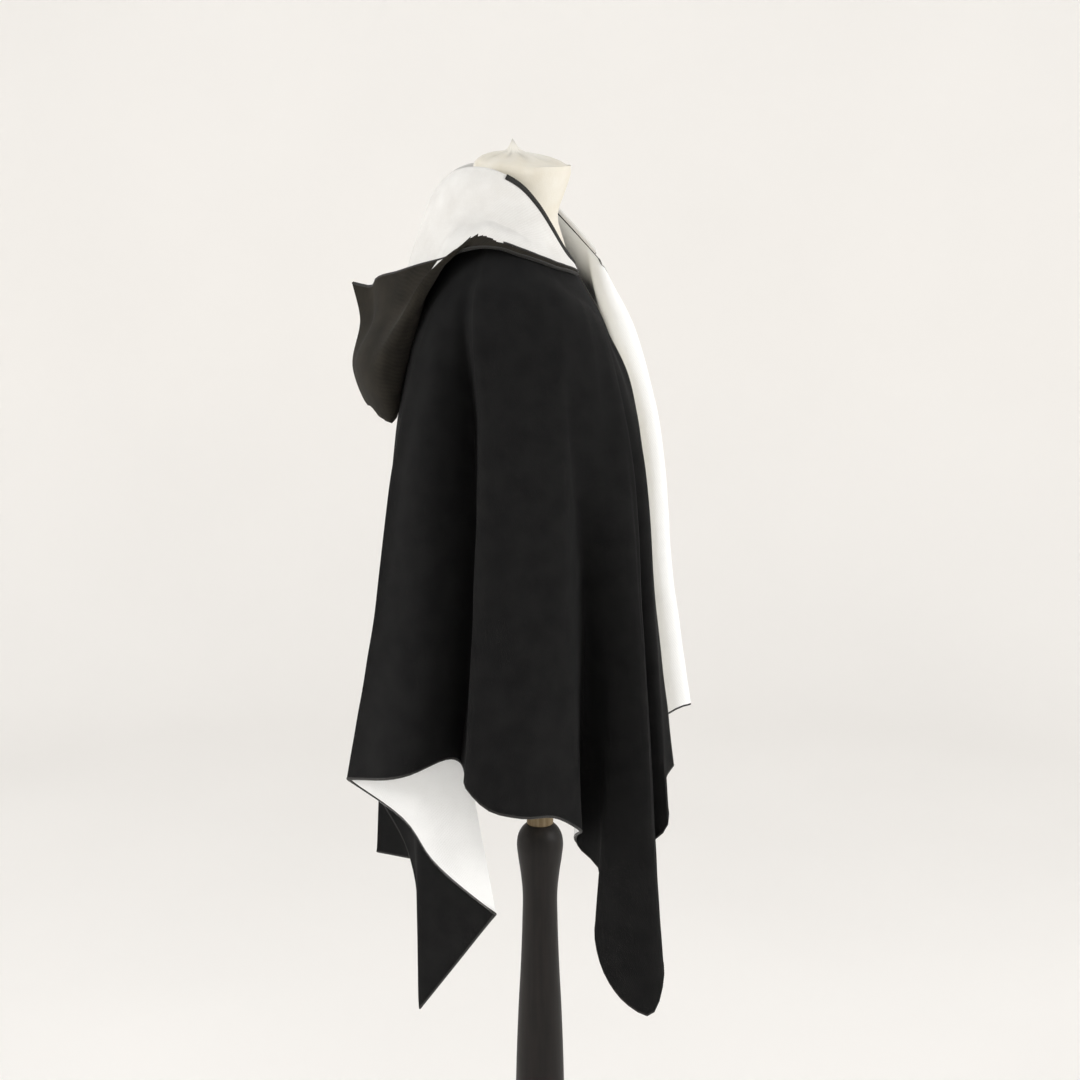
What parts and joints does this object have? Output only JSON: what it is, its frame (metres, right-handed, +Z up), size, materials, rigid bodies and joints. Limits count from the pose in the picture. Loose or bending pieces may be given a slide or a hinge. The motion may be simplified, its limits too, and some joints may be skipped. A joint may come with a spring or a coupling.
{
  "type": "hooded reversible cape on a dress form",
  "caption": "Hooded reversible fleece cape with pointed hems, open at the front, hanging on a limbless dress form on a turned wooden stand.",
  "frame": {"origin": "centre of the underside of the stand's base, on the floor", "axes": "+Z up along the stand's pole, -Y towards the wearer's front, +X towards the wearer's left"},
  "size_m": [0.5808, 0.4187, 1.527],
  "materials": {
    "fleece": "black double-faced fleece, white on its other face",
    "hood_fleece": "brownish black double-faced fleece, white on its other face",
    "jersey": "cream cotton jersey pulled over padding",
    "bare_wood": "bare beech",
    "wood": "near-black stained and waxed beech"
  },
  "bodies": {
    "root": {"cape_front_right": "fleece", "cape_back": "fleece", "cape_front_left": "fleece", "hood_right": "hood_fleece", "hood_left": "hood_fleece", "form_body": "jersey", "stand_collar": "bare_wood", "stand_pole": "wood", "stand_base": "wood"}
  },
  "joints": []
}
